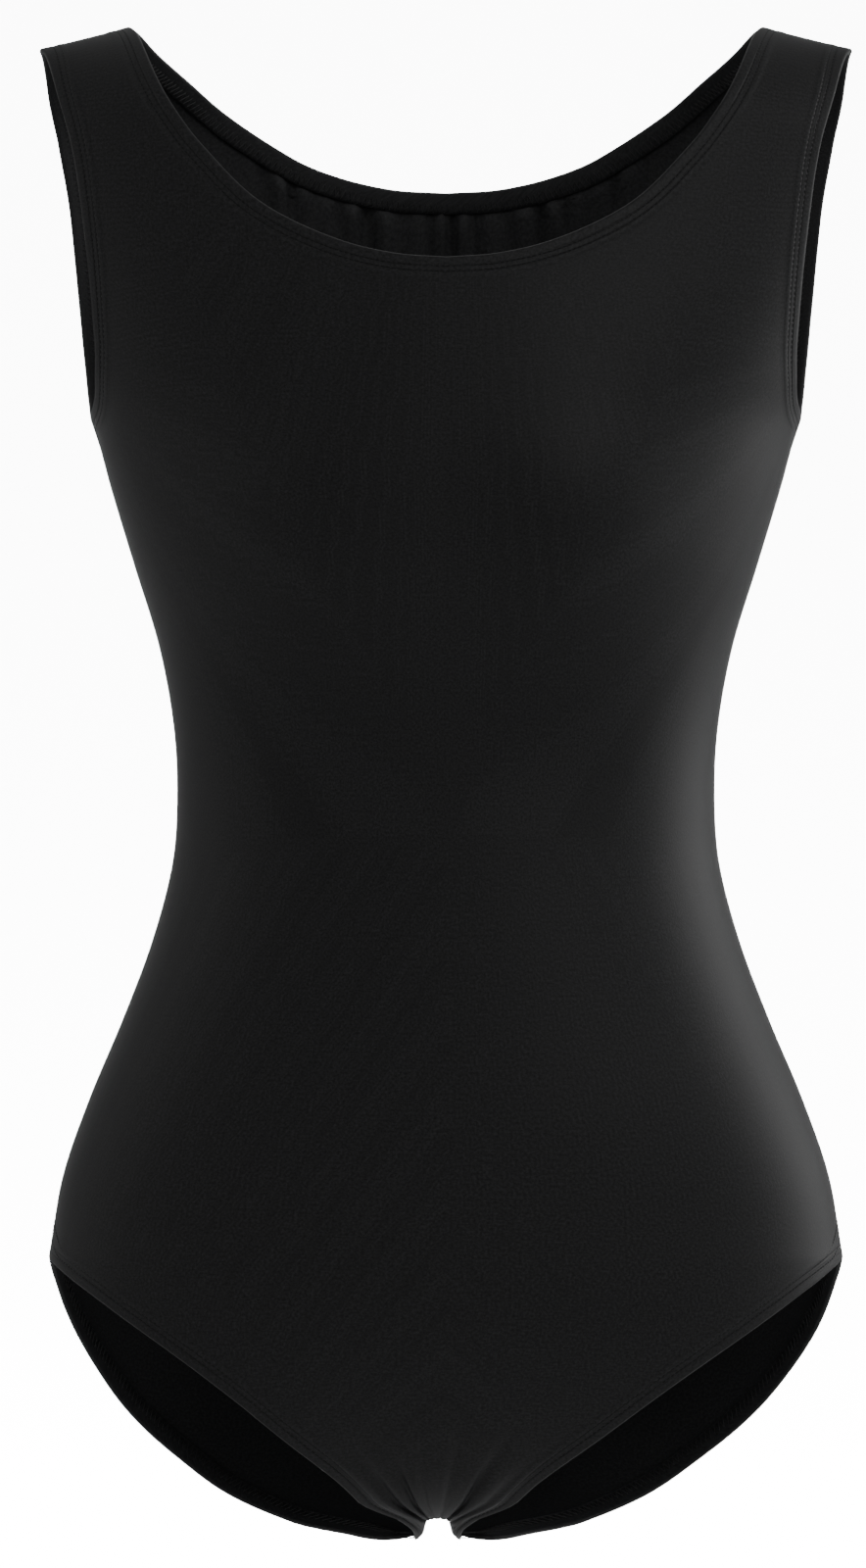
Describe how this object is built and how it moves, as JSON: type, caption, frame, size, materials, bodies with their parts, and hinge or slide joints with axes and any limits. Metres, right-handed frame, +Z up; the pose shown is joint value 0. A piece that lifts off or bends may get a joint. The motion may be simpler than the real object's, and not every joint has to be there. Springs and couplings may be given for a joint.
{
  "type": "gymnastics leotard",
  "caption": "Sleeveless scoop-neck leotard with wide straps, high-cut leg openings and elasticated twin-stitched hems, in its worn shape.",
  "frame": {"origin": "middle of the shoulder line, on the garment's centre plane, where a body or hanger carries the straps", "axes": "+Z up along the wearer's height, -Y out of the front, +X to the wearer's left"},
  "size_m": [0.347, 0.2264, 0.6496],
  "materials": {
    "jersey": "matte satin stretch jersey",
    "lining": "matte cotton knit",
    "elastic": "flat braided elastic",
    "thread": "spun polyester thread"
  },
  "bodies": {
    "root": {"front_panel": "jersey", "back_panel": "jersey", "neck_elastic": "elastic", "neck_needle_thread_1": "thread", "neck_needle_thread_2": "thread", "neck_looper_thread": "thread", "armhole_left_elastic": "elastic", "armhole_left_needle_thread_1": "thread", "armhole_left_needle_thread_2": "thread", "armhole_left_looper_thread": "thread", "armhole_right_elastic": "elastic", "armhole_right_needle_thread_1": "thread", "armhole_right_needle_thread_2": "thread", "armhole_right_looper_thread": "thread", "leg_left_elastic": "elastic", "leg_left_needle_thread_1": "thread", "leg_left_needle_thread_2": "thread", "leg_left_looper_thread": "thread", "leg_right_elastic": "elastic", "leg_right_needle_thread_1": "thread", "leg_right_needle_thread_2": "thread", "leg_right_looper_thread": "thread", "side_seam_left": "thread", "side_seam_right": "thread", "shoulder_seam_left": "thread", "shoulder_seam_right": "thread", "crotch_seam": "thread", "crotch_lining": "lining"}
  },
  "joints": []
}
